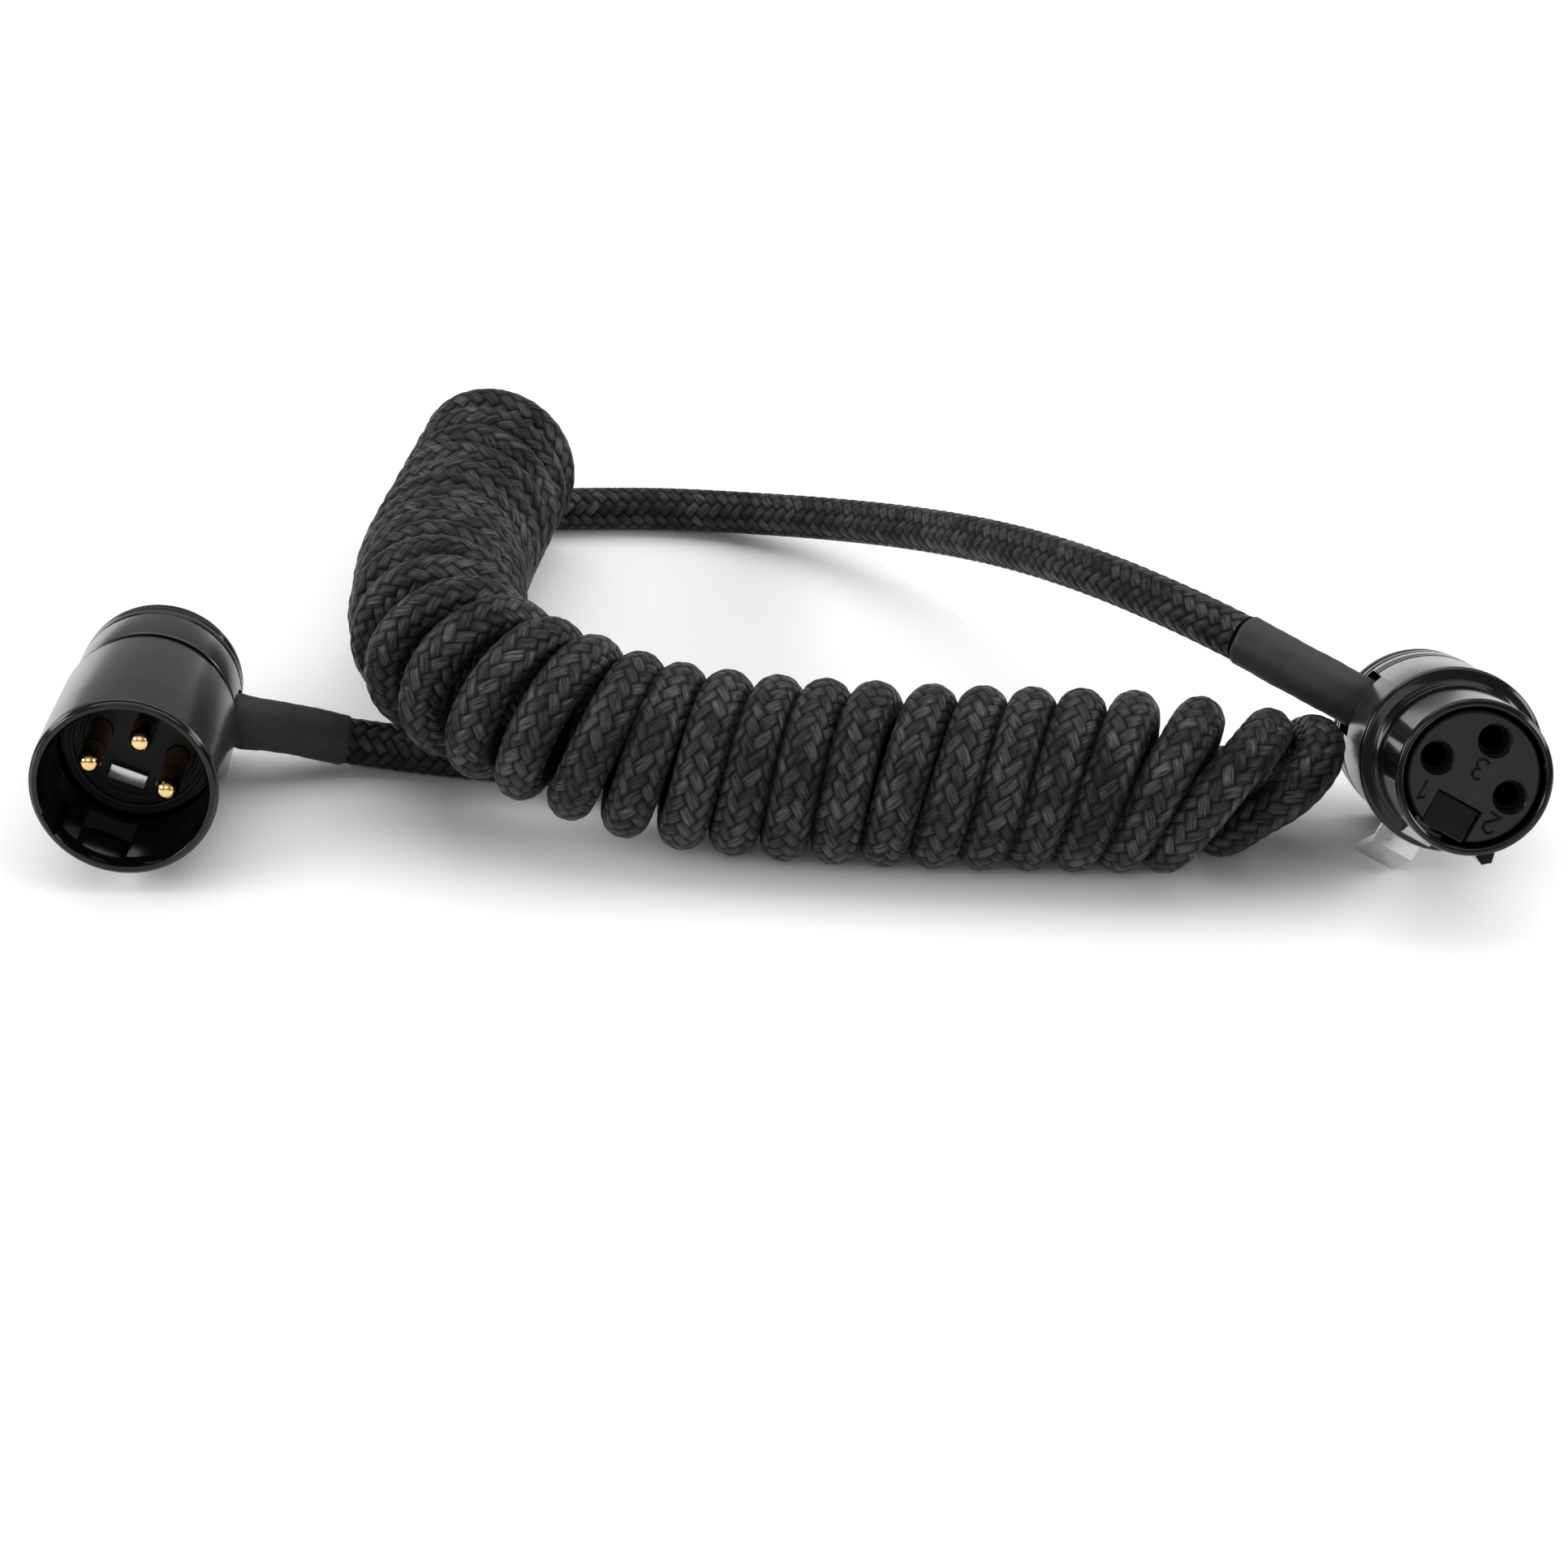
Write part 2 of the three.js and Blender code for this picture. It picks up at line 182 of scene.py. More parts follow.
def eased(line):
    """Opens the tightest bends of the last loop."""
    for _ in range(EASE_PASSES):
        ahead = np.gradient(line, LENGTH_STEP, axis=0)
        bend = np.linalg.norm(np.gradient(ahead, LENGTH_STEP, axis=0), axis=1)
        tight = ((bend > 1 / EASE_RADIUS) & (line[:, 0] > EASE_FROM_X)).astype(float)
        tight = np.clip(np.convolve(tight, np.ones(EASE_WINDOW), "same"), 0, 1)[:, None]
        middle = line.copy()
        middle[1:-1] = (line[:-2] + line[2:]) / 2
        line = line + (middle - line) * tight * EASE_SHARE
    return line


def cable_line():
    """The whole cable, from the male connector's sleeve to the female connector's."""
    coil = coil_line()
    line = np.vstack([
        through(FEMALE_TAIL + [coil[0]])[:-1],
        coil[::KEEP_EVERY],
        through([coil[-1]] + LAST_LOOP + MALE_TAIL)[1:],
    ])
    line = even(line, LENGTH_STEP)
    line = np.column_stack([smooth(line[:, k], ROUTE_WINDOW) for k in range(3)])
    line = eased(even(line, LENGTH_STEP))[::-1]
    line[:, 2] = np.maximum(line[:, 2], CABLE_R + FLOOR_GAP)
    return line


# ---------------------------------------------------------------- mesh tools
# The distance in millimetres under which doubled vertices are merged.
MERGE = 1e-4
# A face whose normal lies this close to its connector's axis is shaded flat.
ON_AXIS = 0.9995
# A rounded corner takes no more than this share of either side.
FILLET_SHARE = 0.4


def new_object(name, verts, faces):
    mesh = bpy.data.meshes.new(name)
    mesh.from_pydata([tuple(v) for v in verts], [], faces)
    return link(name, mesh)


@contextmanager
def editing(mesh):
    """A bmesh of the mesh, written back at the end."""
    work = bmesh.new()
    work.from_mesh(mesh)
    yield work
    work.to_mesh(mesh)
    work.free()


def set_uv(mesh, name, values):
    layer = mesh.uv_layers.new(name=name)
    layer.data.foreach_set("uv", np.asarray(values, np.float32).ravel())


def spokes(line, around):
    """Directions round each point of the line, which don't twist along it, and their angles."""
    ahead = unit(np.gradient(line, axis=0))
    side = np.zeros_like(ahead)
    side[0] = np.cross(ahead[0], [0, 0, 1.0])
    side[0] /= np.linalg.norm(side[0])
    for i in range(1, len(line)):
        turned_side = side[i - 1] - ahead[i] * side[i - 1].dot(ahead[i])
        side[i] = turned_side / np.linalg.norm(turned_side)
    up = np.cross(ahead, side)
    angle = np.arange(around) / around * TAU
    return np.cos(angle)[None, :, None] * side[:, None] + np.sin(angle)[None, :, None] * up[:, None], angle


def grid_faces(rings, around):
    i, k = np.meshgrid(np.arange(rings - 1), np.arange(around), indexing="ij")
    nxt = (k + 1) % around
    here, ahead = i * around, (i + 1) * around
    return np.stack([here + k, here + nxt, ahead + nxt, ahead + k], -1).reshape(-1, 4)


def tube_object(name, line, radii, around):
    """A closed tube in metres. radii is one value a ring, or one a ring and side."""
    spoke, _ = spokes(line, around)
    radii = np.broadcast_to(np.asarray(radii, float).reshape(len(line), -1), (len(line), around))
    verts = (line[:, None] + spoke * radii[:, :, None]).reshape(-1, 3) * MM
    faces = grid_faces(len(line), around).tolist()
    last = (len(line) - 1) * around
    faces.append(list(range(around))[::-1])
    faces.append([last + k for k in range(around)])
    return new_object(name, verts, faces)


def fillet(points, radius, steps=3):
    """The closed outline with its corners rounded, apart from those on the axis."""
    rounded = []
    count = len(points)
    for i in range(count):
        before, at, after = (Vector(points[(i + k) % count]) for k in (-1, 0, 1))
        if at.x < 1e-6:
            rounded.append(tuple(at))
            continue
        a, b = before - at, after - at
        cut = min(radius, a.length * FILLET_SHARE, b.length * FILLET_SHARE)
        start, end = at + a.normalized() * cut, at + b.normalized() * cut
        for k in range(steps + 1):
            t = k / steps
            rounded.append(tuple((1 - t) ** 2 * start + 2 * t * (1 - t) * at + t * t * end))
    return rounded


def turned(name, outline, round_by=0.1, around=144, steps=3):
    """A turned part round the y axis, in millimetres, from a closed outline of (radius, y)."""
    outline = np.array(fillet(outline, round_by, steps))
    after = np.roll(outline, -1, axis=0)
    if np.sum(outline[:, 0] * after[:, 1] - after[:, 0] * outline[:, 1]) > 0:
        outline = outline[::-1]
    closed = np.vstack([outline, outline[:1]])
    along = np.r_[0, np.cumsum(np.linalg.norm(np.diff(closed, axis=0), axis=1))]
    angle = np.arange(around) / around * TAU
    r, y = closed[:-1, 0][:, None], closed[:-1, 1][:, None]
    verts = np.stack([r * np.cos(angle), y + 0 * angle, r * np.sin(angle)], -1).reshape(-1, 3)
    rows = len(outline)
    i, k = np.meshgrid(np.arange(rows), np.arange(around), indexing="ij")
    nxt, row = (k + 1) % around, (i + 1) % rows
    here, ahead = i * around, row * around
    quads = np.stack([here + k, here + nxt, ahead + nxt, ahead + k], -1)
    obj = new_object(name, verts, quads.reshape(-1, 4).tolist())
    u = np.stack([k, k + 1, k + 1, k], -1) / around
    v = np.stack([along[i], along[i], along[i + 1], along[i + 1]], -1)
    set_uv(obj.data, "turn", np.stack([u, v], -1))
    with editing(obj.data) as work:
        bmesh.ops.remove_doubles(work, verts=work.verts, dist=MERGE)
        bmesh.ops.recalc_face_normals(work, faces=work.faces)
    return obj


def block(x, y, z, turn=0):
    """A box between two values on each axis, then turned round y by some degrees."""
    corners = [(a, b, c) for a in x for b in y for c in z]
    faces = [(0, 1, 3, 2), (4, 6, 7, 5), (0, 4, 5, 1), (2, 3, 7, 6), (0, 2, 6, 4), (1, 5, 7, 3)]
    obj = new_object("cutter", corners, faces)
    obj.data.transform(Matrix.Rotation(math.radians(-turn), 4, "Y"))
    return obj


def rod(radius, front, back, x=0, z=0, around=48):
    """A round cutter along y."""
    obj = turned("cutter", [(0, front), (radius, front), (radius, back), (0, back)], 0.0001, around, 1)
    obj.data.transform(Matrix.Translation((x, 0, z)))
    return obj


def cross_rod(radius, a, b, y, z, around=48):
    """A round cutter along x."""
    obj = rod(radius, a, b, 0, 0, around)
    obj.data.transform(Matrix.Translation((0, y, z)) @ Matrix.Rotation(math.radians(-90), 4, "Z"))
    return obj


def arc(cx, cz, radius, first, last, steps=14):
    """Points along a circle, from one angle to another in degrees."""
    turns = [math.radians(first + (last - first) * k / steps) for k in range(steps + 1)]
    return [(cx + radius * math.cos(t), cz + radius * math.sin(t)) for t in turns]


# Strokes of the digits, for a height of 1.
DIGITS = {
    "1": [[(0.05, 0.5), (0.05, -0.5)], [(-0.24, 0.2), (0.07, 0.47)]],
    "2": [arc(0, 0.22, 0.27, 165, -32) + [(-0.3, -0.44)], [(-0.32, -0.44), (0.3, -0.44)]],
    "3": [arc(0, 0.24, 0.25, 150, -100), arc(0, -0.24, 0.27, 100, -150)],
}
DIGIT_HEIGHT = 2.1
STROKE_WIDTH = 0.3
STROKE_DEPTH = 0.4
# Where the female connector's face lies on its axis.
FACE_Y = 0.5


def digit(text, x, z):
    """Cutters for a digit that reads upright with the latch side on top, facing -y."""
    cutters = []
    flip = Matrix(((-1, 0, 0, x), (0, 0, -1, FACE_Y), (0, -1, 0, z), (0, 0, 0, 1)))
    half, depth = STROKE_WIDTH / 2, STROKE_DEPTH
    for stroke in DIGITS[text]:
        line = [Vector((u * DIGIT_HEIGHT, v * DIGIT_HEIGHT, 0)) for u, v in stroke]
        mesh = bpy.data.meshes.new("cutter")
        with editing(mesh) as work:
            rings = []
            for k, point in enumerate(line):
                along = (line[min(k + 1, len(line) - 1)] - line[max(k - 1, 0)]).normalized()
                side = Vector((-along.y, along.x, 0)) * half
                rings.append([
                    work.verts.new(flip @ (point + side * s + Vector((0, 0, t))))
                    for s, t in ((1, depth), (-1, depth), (-1, -depth), (1, -depth))
                ])
            for one, two in zip(rings, rings[1:]):
                for k in range(4):
                    work.faces.new((one[k], one[k - 1], two[k - 1], two[k]))
            work.faces.new(rings[0])
            work.faces.new(rings[-1][::-1])
            bmesh.ops.recalc_face_normals(work, faces=work.faces)
        cutters.append(link("cutter", mesh))
    return cutters


def carve(obj, cutters, operation="DIFFERENCE"):
    """Cuts the cutters out of the object, or joins them to it, and removes them."""
    for cutter in cutters:
        change = obj.modifiers.new("cut", "BOOLEAN")
        change.operation = operation
        change.object = cutter
        change.solver = "EXACT"
    graph = bpy.context.evaluated_depsgraph_get()
    mesh = bpy.data.meshes.new_from_object(obj.evaluated_get(graph), depsgraph=graph)
    obj.modifiers.clear()
    obj.data = mesh
    for cutter in cutters:
        bpy.data.objects.remove(cutter)


def bevelled(name, node, width):
    """A copy of a CAD node's shape with its edges rounded."""
    mesh = frame["nodes"][node].data.copy()
    with editing(mesh) as work:
        bmesh.ops.remove_doubles(work, verts=work.verts, dist=MERGE * MM)
        bmesh.ops.dissolve_limit(work, angle_limit=math.radians(2), verts=work.verts, edges=work.edges)
        sharp = [e for e in work.edges if e.is_manifold and e.calc_face_angle(0) > math.radians(25)]
        bmesh.ops.bevel(
            work, geom=sharp, offset=width * MM, segments=3, profile=0.6, affect="EDGES", clamp_overlap=True
        )
    return link(name, mesh)


def soften(obj, width):
    """Rounds every edge of a plain block."""
    with editing(obj.data) as work:
        bmesh.ops.recalc_face_normals(work, faces=work.faces)
        bmesh.ops.bevel(work, geom=work.edges[:], offset=width, segments=3, profile=0.6, affect="EDGES")


def settle(obj, material, slot, *nodes, body="cable_set", place=None, angle=32):
    """Puts a finished piece in its place, in the row frame."""
    if place is not None:
        obj.data.transform(Matrix.Scale(MM, 4) @ place)
    obj.data.shade_smooth()
    obj.data.set_sharp_from_angle(angle=math.radians(angle))
    if place is not None:
        # Faces square to the connector's axis are flat, whatever was cut into them.
        axis = place.to_3x3() @ Vector((0, 1, 0))
        for face in obj.data.polygons:
            face.use_smooth = abs(face.normal.dot(axis)) < ON_AXIS
    obj.data.materials.clear()
    obj.data.materials.append(material)
    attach(obj, body)
    if nodes:
        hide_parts(*nodes)


def second_finish(obj, material, where):
    """Gives the faces numbered in where another material."""
    obj.data.materials.append(material)
    for number in where:
        obj.data.polygons[number].material_index = 1


# ---------------------------------------------------------------- materials
class Finish:
    """Builds one procedural material step by step."""

    def __init__(self, name):
        self.material = bpy.data.materials.new(name)
        self.material.use_nodes = True
        self.nodes = self.material.node_tree.nodes
        self.links = self.material.node_tree.links
        self.shader = self.nodes["Principled BSDF"]

    def node(self, kind, settings=(), **inputs):
        """A new node. An input is fed by its name, or by its number as i0, i1 and so on."""
        made = self.nodes.new(kind)
        for key, value in dict(settings).items():
            setattr(made, key, value)
        for key, value in inputs.items():
            numbered = key[0] == "i" and key[1:].isdigit()
            self.feed(made.inputs[int(key[1:]) if numbered else key], value)
        return made

    def feed(self, socket, value):
        if isinstance(value, bpy.types.NodeSocket):
            self.links.new(value, socket)
        else:
            socket.default_value = value

    def math(self, operation, a, b=0.0):
        return self.node("ShaderNodeMath", {"operation": operation}, i0=a, i1=b).outputs[0]

    def noise(self, vector, scale, detail=2.0, roughness=0.5):
        made = self.node("ShaderNodeTexNoise", Scale=scale, Detail=detail, Roughness=roughness)
        self.feed(made.inputs["Vector"], vector)
        return made.outputs["Fac"]

    def span(self, value, low, high, start=0.0, end=1.0):
        """Carries start to low and end to high, clamped."""
        made = self.node("ShaderNodeMapRange", i0=value, i1=start, i2=end, i3=low, i4=high)
        return made.outputs[0]

    def mix(self, amount, a, b):
        made = self.node("ShaderNodeMix", {"data_type": "RGBA"})
        self.feed(made.inputs[0], amount)
        self.feed(made.inputs[6], a)
        self.feed(made.inputs[7], b)
        return made.outputs[2]

    def bump(self, height, distance, normal=None):
        made = self.node("ShaderNodeBump", Strength=1.0, Distance=distance, Height=height)
        if normal is not None:
            self.feed(made.inputs["Normal"], normal)
        return made.outputs[0]

    def local(self):
        return self.node("ShaderNodeTexCoord").outputs["Object"]

    def set(self, **values):
        for key, value in values.items():
            self.feed(self.shader.inputs[key.replace("_", " ")], value)
        return self


def grey(value):
    return (value, value, value, 1.0)


# Depths of the finest relief, in metres.
LACQUER_RELIEF = 0.0000016
METAL_RELIEF = 0.000003
PLAIT_RELIEF = 0.00022
FIBRE_RELIEF = 0.00009


def coated(name, dark, light, rough, coat, metallic=0.0, specular=0.5, marks=0.0, wear_and_edge_highlight=0.0):
    """Lacquered or anodised metal: soft blotches, turning marks, and light edges that are partly wear and
    partly a painted highlight.
    """
    f = Finish(name)
    place = f.local()
    blotch = f.noise(place, 260.0, 3.0)
    fine = f.noise(place, 5200.0, 3.0, 0.6)
    color = f.mix(f.span(blotch, 0.0, 1.0, 0.35, 0.65), dark, light)
    # Lightens the sharpest edges: partly wear, partly a painted highlight that stands in for bright edge
    # lines.
    if wear_and_edge_highlight:
        edge = f.span(f.node("ShaderNodeNewGeometry").outputs["Pointiness"], 0.0, 1.0, 0.53, 0.62)
        worn_and_highlit_edges = f.math("MULTIPLY", edge, f.span(blotch, 0.2, 1.0, 0.4, 0.6))
        color = f.mix(f.math("MULTIPLY", worn_and_highlit_edges, wear_and_edge_highlight), color, grey(0.42))
    f.set(Base_Color=color, Metallic=metallic, Specular_IOR_Level=specular)
    uneven = f.math("ADD", blotch, f.math("MULTIPLY", fine, 0.5))
    f.set(Roughness=f.span(uneven, rough * 0.93, rough * 1.1, 0.5, 1.0))
    f.set(Coat_Weight=coat, Coat_Roughness=0.06)
    height = f.math("MULTIPLY", fine, 0.2)
    if marks:
        turn = f.node("ShaderNodeUVMap", {"uv_map": "turn"}).outputs[0]
        along = f.node("ShaderNodeSeparateXYZ", i0=turn).outputs[1]
        ring = f.node("ShaderNodeTexNoise", {"noise_dimensions": "1D"}, Scale=22.0, Detail=3.0, W=along)
        height = f.math("ADD", height, f.math("MULTIPLY", ring.outputs["Fac"], marks))
    f.set(Normal=f.bump(height, LACQUER_RELIEF))
    return f.material


def metal(name, color, rough):
    """Bare or plated metal with faint drawn lines."""
    f = Finish(name)
    place = f.local()
    blotch = f.noise(place, 420.0, 3.0)
    fine = f.noise(place, 6500.0, 2.0)
    stretched = f.node("ShaderNodeMapping", i0=place, Scale=(0.12, 1.0, 1.0)).outputs[0]
    lines = f.noise(stretched, 5400.0, 3.0, 0.65)
    duller = tuple(c * 0.78 for c in color[:3]) + (1.0,)
    f.set(Base_Color=f.mix(f.span(blotch, 0.0, 1.0, 0.35, 0.7), duller, color), Metallic=1.0)
    f.set(Roughness=f.span(f.math("ADD", lines, blotch), rough * 0.7, rough * 1.4, 0.7, 1.3))
    f.set(Normal=f.bump(f.math("ADD", fine, lines), METAL_RELIEF))
    return f.material


def moulded(name, dark, light, rough, grain, scale=3800.0, specular=0.5, sheen=0.0):
    """Moulded plastic or rubber with a fine grain and faint mottling."""
    f = Finish(name)
    place = f.local()
    mottle = f.noise(place, 500.0, 4.0, 0.6)
    fine = f.noise(place, scale, 2.0, 0.7)
    speck = f.span(fine, 0.0, 1.0, 0.62, 0.74)
    color = f.mix(f.span(mottle, 0.0, 1.0, 0.35, 0.65), dark, light)
    color = f.mix(f.math("MULTIPLY", speck, 0.5), color, tuple(c * 2.2 for c in light[:3]) + (1.0,))
    f.set(Base_Color=color, Sheen_Weight=sheen, Specular_IOR_Level=specular)
    f.set(Roughness=f.span(mottle, rough * 0.9, rough * 1.1, 0.3, 0.7))
    f.set(Normal=f.bump(fine, grain))
    return f.material


# The plait: bundles in each direction, and how round and how deep each float is.
BUNDLES = 10
CROWN, ARCH = 2.6, 3.2
SIDES, ENDS = 0.45, 0.05
FIBRES = 7.5


def braided(name):
    """A two-over-two plait of flat yarn bundles; the uv map counts the bundles of each direction."""
    f = Finish(name)
    plait = f.node("ShaderNodeUVMap", {"uv_map": "plait"}).outputs[0]
    split = f.node("ShaderNodeSeparateXYZ", i0=plait)
    a, b = split.outputs[0], split.outputs[1]
    i, j = f.math("FLOOR", a), f.math("FLOOR", b)
    fa, fb = f.math("FRACT", a), f.math("FRACT", b)
    column = f.math("FLOORED_MODULO", f.math("SUBTRACT", i, j), 4.0)
    over = f.math("LESS_THAN", column, 1.5)
    second = f.math("GREATER_THAN", f.math("ABSOLUTE", f.math("SUBTRACT", column, 1.5)), 1.0)

    def pick(if_a, if_b):
        return f.math("ADD", if_b, f.math("MULTIPLY", over, f.math("SUBTRACT", if_a, if_b)))

    across = pick(fa, fb)
    run = f.math("ADD", pick(fb, fa), second)
    along = f.math("MULTIPLY", run, 0.5)
    # Both cells of one float share a number.
    total = f.math("SUBTRACT", f.math("ADD", i, j), second)
    back = f.math("MULTIPLY", second, f.math("SUBTRACT", f.math("MULTIPLY", over, 2.0), 1.0))
    apart = f.math("ADD", f.math("SUBTRACT", i, j), back)
    apart = f.math("FLOORED_MODULO", apart, 2.0 * BUNDLES)
    key = f.node("ShaderNodeCombineXYZ", i0=total, i1=apart, i2=over).outputs[0]
    chance = f.node("ShaderNodeTexWhiteNoise", {"noise_dimensions": "3D"}, i0=key).outputs[0]

    def hump(value, power):
        off = f.math("ABSOLUTE", f.math("SUBTRACT", f.math("MULTIPLY", value, 2.0), 1.0))
        return f.math("SUBTRACT", 1.0, f.math("POWER", off, power))

    crown, arch = hump(across, CROWN), hump(along, ARCH)
    height = f.math("MULTIPLY", f.span(crown, SIDES, 1.0), f.span(arch, ENDS, 1.0))

    strand = f.node(
        "ShaderNodeCombineXYZ",
        i0=f.math("ADD", f.math("MULTIPLY", across, FIBRES), f.math("MULTIPLY", chance, 53.0)),
        i1=f.math("ADD", f.math("MULTIPLY", run, 0.5), f.math("MULTIPLY", chance, 17.0)),
        i2=apart,
    ).outputs[0]
    fibre = f.noise(strand, 1.0, 3.0, 0.65)
    place = f.local()
    patch = f.noise(place, 170.0, 3.0, 0.55)
    lint = f.span(f.noise(place, 1500.0, 3.0, 0.6), 0.0, 1.0, 0.60, 0.72)

    streak = f.span(fibre, 0.0, 1.0, 0.36, 0.66)
    # Darker where a float dips towards the grooves between bundles: painted shade. The rest of the tone
    # differs at random per float and in broad patches.
    tone_and_groove_shade = f.math("MULTIPLY", f.span(height, 0.05, 1.0, 0.15, 0.85), f.span(chance, 0.35, 1.0))
    tone_and_groove_shade = f.math("MULTIPLY", tone_and_groove_shade, f.span(patch, 0.50, 1.0, 0.38, 0.60))
    color = f.mix(f.math("MULTIPLY", tone_and_groove_shade, f.span(streak, 0.25, 1.0)), grey(0.0010), grey(0.052))
    color = f.mix(f.math("MULTIPLY", f.math("MULTIPLY", lint, fibre), 0.35), color, grey(0.08))
    relief = f.bump(height, PLAIT_RELIEF)
    relief = f.bump(fibre, FIBRE_RELIEF, relief)
    # The specular level falls with the tone, so the grooves lose their reflection too: painted shade.
    gloss = f.span(f.math("MULTIPLY", tone_and_groove_shade, streak), 0.06, 0.70)
    f.set(Base_Color=color, Normal=relief, Sheen_Weight=0.03, Sheen_Roughness=0.4, Specular_IOR_Level=gloss)
    f.set(Roughness=f.span(streak, 0.55, 0.38))
    return f.material


LOOK = {
    "black_lacquer": coated("black_lacquer", grey(0.0012), grey(0.0025), 0.13, 0.24, specular=0.2, wear_and_edge_highlight=0.05),
    "satin_black": coated(
        "satin_black", grey(0.052), grey(0.058), 0.24, 0.10, metallic=0.75, marks=0.2, wear_and_edge_highlight=0.08
    ),
    "insert_plastic": moulded("insert_plastic", grey(0.0080), grey(0.0088), 0.50, 0.00001, specular=0.25),
    "gold_contact": metal("gold_contact", (0.86, 0.60, 0.27, 1.0), 0.16),
    "bright_steel": metal("bright_steel", (0.58, 0.585, 0.59, 1.0), 0.20),
    "fixing_steel": metal("fixing_steel", (0.40, 0.41, 0.42, 1.0), 0.34),
    "spring_steel": metal("spring_steel", (0.56, 0.57, 0.58, 1.0), 0.28),
    "braid": braided("braid"),
    "heatshrink": moulded("heatshrink", grey(0.017), grey(0.023), 0.60, 0.000014, 2600.0, 0.3, 0.05),
    "cable_core": moulded("cable_core", grey(0.010), grey(0.014), 0.70, 0.00001),
    "wire_red": moulded("wire_red", (0.30, 0.012, 0.012, 1), (0.42, 0.02, 0.02, 1), 0.50, 0.000006),
    "wire_white": moulded("wire_white", (0.62, 0.60, 0.55, 1), (0.75, 0.72, 0.66, 1), 0.50, 0.000006),
    "wire_bare": metal("wire_bare", (0.62, 0.32, 0.16, 1.0), 0.35),
}

# The socket contacts sit deep in their holes; they are painted almost black as painted shade.
CONTACT_SHADE = metal("gold_contact_painted_shade", (0.015, 0.0145, 0.0135, 1.0), 0.30)

for part in frame["record"]["subparts"]:
    cad_mesh = frame["nodes"][part["node"]].data
    cad_mesh.materials.clear()
    recessed = part["node"].startswith("female_contact")
    cad_mesh.materials.append(CONTACT_SHADE if recessed else LOOK[part["material_slot"]])

# ---------------------------------------------------------------- cable
# Mesh points across one bundle, and round the cable.
SAMPLES = 5
AROUND = SAMPLES * BUNDLES
CELL = TAU * CABLE_R / BUNDLES
# The mesh runs from GROOVE under the nominal radius, up by RELIEF at the crowns.
GROOVE, RELIEF = 0.07, 0.15


def plait_height(a, b):
    """Relief of the plait: each bundle floats over two others and dips under two."""
    column = np.mod(np.floor(a) - np.floor(b), 4)
    over = column < 1.5
    second = np.abs(column - 1.5) > 1
    fa, fb = a - np.floor(a), b - np.floor(b)
    across = np.where(over, fa, fb)
    along = (np.where(over, fb, fa) + second) / 2
    crown = 1 - np.abs(2 * across - 1) ** CROWN
    arch = 1 - np.abs(2 * along - 1) ** ARCH
    return (SIDES + (1 - SIDES) * crown) * (ENDS + (1 - ENDS) * arch)


def make_cable():
    line = even(cable_line(), CELL / SAMPLES)
    rings = len(line)
    u = np.arange(rings)[:, None] / SAMPLES
    v = np.arange(AROUND)[None, :] / SAMPLES
    # Half a sample off the lattice, so that crowns and grooves both show.
    shift = 0.5 / SAMPLES
    relief = plait_height(v + u + shift, u - v + shift)
    cable = tube_object("braided_cable", line, CABLE_R - GROOVE + RELIEF * relief, AROUND)
    i, k = np.meshgrid(np.arange(rings - 1), np.arange(AROUND), indexing="ij")
    corner_u = np.stack([i, i, i + 1, i + 1], -1) / SAMPLES + shift
    corner_v = np.stack([k, k + 1, k + 1, k], -1) / SAMPLES
    plait = np.stack([corner_v + corner_u, corner_u - corner_v], -1).reshape(-1, 2)
    ends = np.zeros((2 * AROUND, 2))
    set_uv(cable.data, "plait", np.vstack([plait, ends]))
    settle(cable, LOOK["braid"], "braid", "cable_tail_a", "cable_coil", "cable_tail_b", angle=60)


make_cable()


# ---------------------------------------------------------------- connectors, millimetres
def placement(at, nose_up, yaw, roll):
    """Where a connector goes. It's modelled with its mouth at the origin and its axis along y."""
    return (
        Matrix.Translation(at)
        @ Matrix.Rotation(math.radians(yaw), 4, "Z")
        @ Matrix.Rotation(math.radians(-nose_up), 4, "X")
        @ Matrix.Rotation(math.radians(-roll), 4, "Y")
    )


MALE = placement((-65.93, -9.04, 11.43), 6, 0, -21.5)
FEMALE = placement((66.67, -18.04, 17.85), 20, 3, -30)
LENGTH = 29.0
OUTLET_Y = 23.2
PIN_CIRCLE_R = 4.1
CONTACTS = {1: (1, 0), 2: (-1, 0), 3: (0, 1)}
# The heat-shrink sleeve: its radii, mesh steps, and how many rings its ragged end spreads over.
SLEEVE_OUTER, SLEEVE_BORE = 2.70, 2.5
SLEEVE_STEP, SLEEVE_AROUND = 0.25, 64
RAGGED_RINGS = 6
# How far under the housing's radius its faces turn black, as painted shade in its grooves and outlet, and how
# far from the axis the outlet's rise is measured.
GROOVE_UNDER = 0.16
OUTLET_REACH = 8.3


def ribbed(radius, front, back, ribs, depth):
    """Outline points for fine turned ribs on an outer face, from front to back."""
    pitch = (back - front) / ribs
    points = []
    for k in range(ribs):
        y = front + k * pitch
        points += [
            (radius - depth, y),
            (radius - depth, y + 0.4 * pitch),
            (radius, y + 0.45 * pitch),
            (radius, y + 0.95 * pitch),
        ]
    return points


